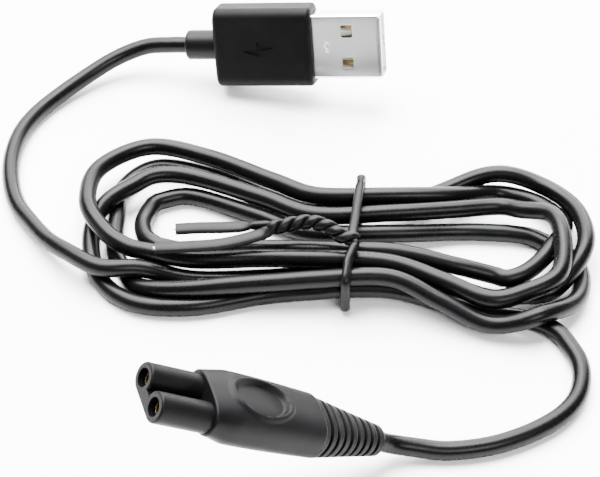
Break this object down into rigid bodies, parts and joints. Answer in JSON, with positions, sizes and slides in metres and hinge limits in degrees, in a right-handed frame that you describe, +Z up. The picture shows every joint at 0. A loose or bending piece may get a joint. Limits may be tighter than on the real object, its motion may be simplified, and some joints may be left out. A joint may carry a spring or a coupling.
{
  "type": "trimmer charging lead",
  "caption": "Charging lead for a beard trimmer: a USB plug and a ribbed two-socket trimmer connector moulded on a round black cord, wound in a flat hank held by a twist tie.",
  "frame": {"origin": "on the surface that the lead lies on, under the middle of the box of the plug, the connector and the tie", "axes": "+X along the hank from its plug-side loop to its connector-side loop, +Y from the trimmer connector towards the USB plug, +Z up"},
  "size_m": [0.1029, 0.1125, 0.0308],
  "materials": {
    "cord_jacket": "soft satin PVC jacket",
    "moulded_grip": "fine-grained matt moulding",
    "ribbed_boot": "matt flexible moulding",
    "inner_mould": "plain natural plastic",
    "plug_tongue": "smooth white plastic",
    "tinned_steel": "bright stamped sheet",
    "plated_contacts": "gold-plated strip",
    "brass_sockets": "turned brass",
    "tie_coating": "smooth plastic coating",
    "tie_wire_steel": "drawn wire",
    "core_red": "insulation",
    "core_black": "insulation"
  },
  "bodies": {
    "cord": {"cord_usb_lead": "cord_jacket", "cord_hank": "cord_jacket", "cord_connector_lead": "cord_jacket"},
    "usb_plug": {"usb_shell": "tinned_steel", "usb_tongue": "plug_tongue", "contact_vbus": "plated_contacts", "contact_data_minus": "plated_contacts", "contact_data_plus": "plated_contacts", "contact_ground": "plated_contacts", "usb_premould": "inner_mould", "usb_overmould": "moulded_grip", "usb_collar": "moulded_grip", "usb_cord_end": "cord_jacket", "usb_core_positive": "core_red", "usb_core_negative": "core_black"},
    "connector": {"connector_nose": "moulded_grip", "socket_positive": "brass_sockets", "socket_negative": "brass_sockets", "connector_block": "inner_mould", "connector_grip": "moulded_grip", "connector_boot": "ribbed_boot", "connector_cord_end": "cord_jacket", "connector_core_positive": "core_red", "connector_core_negative": "core_black"},
    "tie": {"tie_sleeve": "tie_coating", "tie_wire": "tie_wire_steel"}
  },
  "joints": [
    {"name": "usb_bend", "type": "hinge", "parent": "cord", "child": "usb_plug", "pos_m": [-0.01403, 0.05147, 0.00755], "axis": [0, 0, 1], "range_deg": [-15, 15], "stiffness_Nm_per_rad": 0.02, "deforming": ["usb_collar", "usb_cord_end"]},
    {"name": "connector_bend", "type": "hinge", "parent": "cord", "child": "connector", "pos_m": [0.01046, -0.04207, 0.00869], "axis": [0, 0, 1], "range_deg": [-25, 25], "stiffness_Nm_per_rad": 0.02, "deforming": ["connector_boot", "connector_cord_end"]},
    {"name": "tie_slide", "type": "slide", "parent": "cord", "child": "tie", "axis": [1, 0, 0], "range_m": [-0.0025, 0.0025]}
  ]
}
